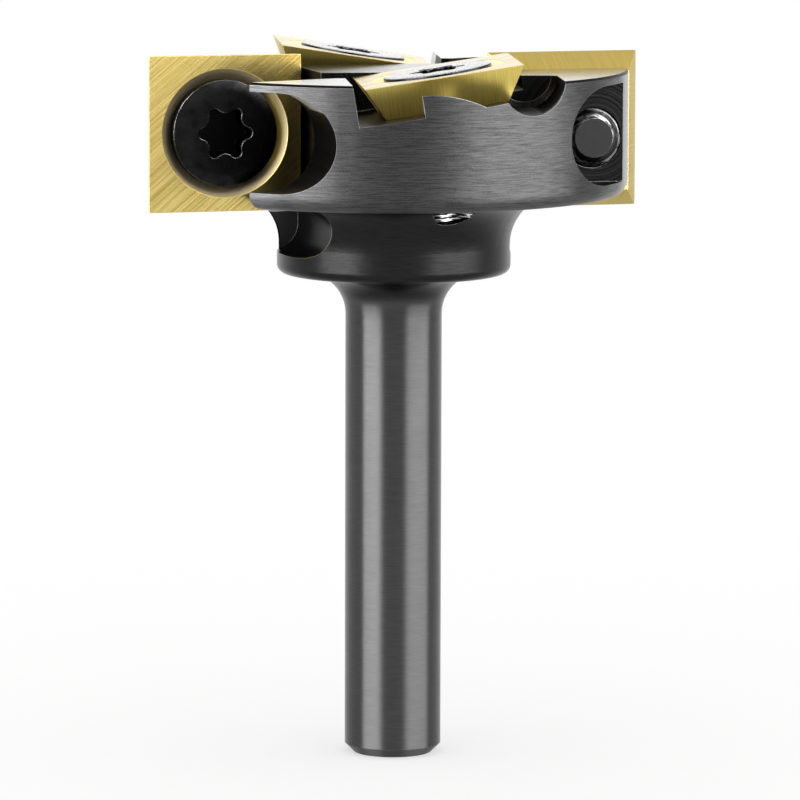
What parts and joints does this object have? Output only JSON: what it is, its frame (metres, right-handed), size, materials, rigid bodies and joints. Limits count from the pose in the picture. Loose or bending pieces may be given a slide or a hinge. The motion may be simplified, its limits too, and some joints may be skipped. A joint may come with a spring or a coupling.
{
  "type": "surfacing router bit",
  "caption": "Surfacing router bit: a dark turned steel body on a plain straight shank, with gold-coated square cutting inserts held by black six-lobed countersunk screws.",
  "frame": {"origin": "centre of the shank's lower end, on the axis of rotation", "axes": "+Z along the axis of rotation from the shank's end to the cutting face, +X towards the right-hand side insert"},
  "size_m": [0.041, 0.0386, 0.0587],
  "materials": {
    "dark_steel": "turned steel, blackened, with fine brushing round the axis",
    "gold_coating": "ground tungsten carbide with a gold nitride coating, brushed",
    "black_screws": "hardened steel, black oxide, satin"
  },
  "bodies": {
    "root": {"cutter_body": "dark_steel", "side_insert_right": "gold_coating", "side_insert_left": "gold_coating", "top_insert_front": "gold_coating", "top_insert_rear": "gold_coating", "side_screw_right": "black_screws", "side_screw_left": "black_screws", "top_screw_front": "black_screws", "top_screw_rear": "black_screws"}
  },
  "joints": []
}
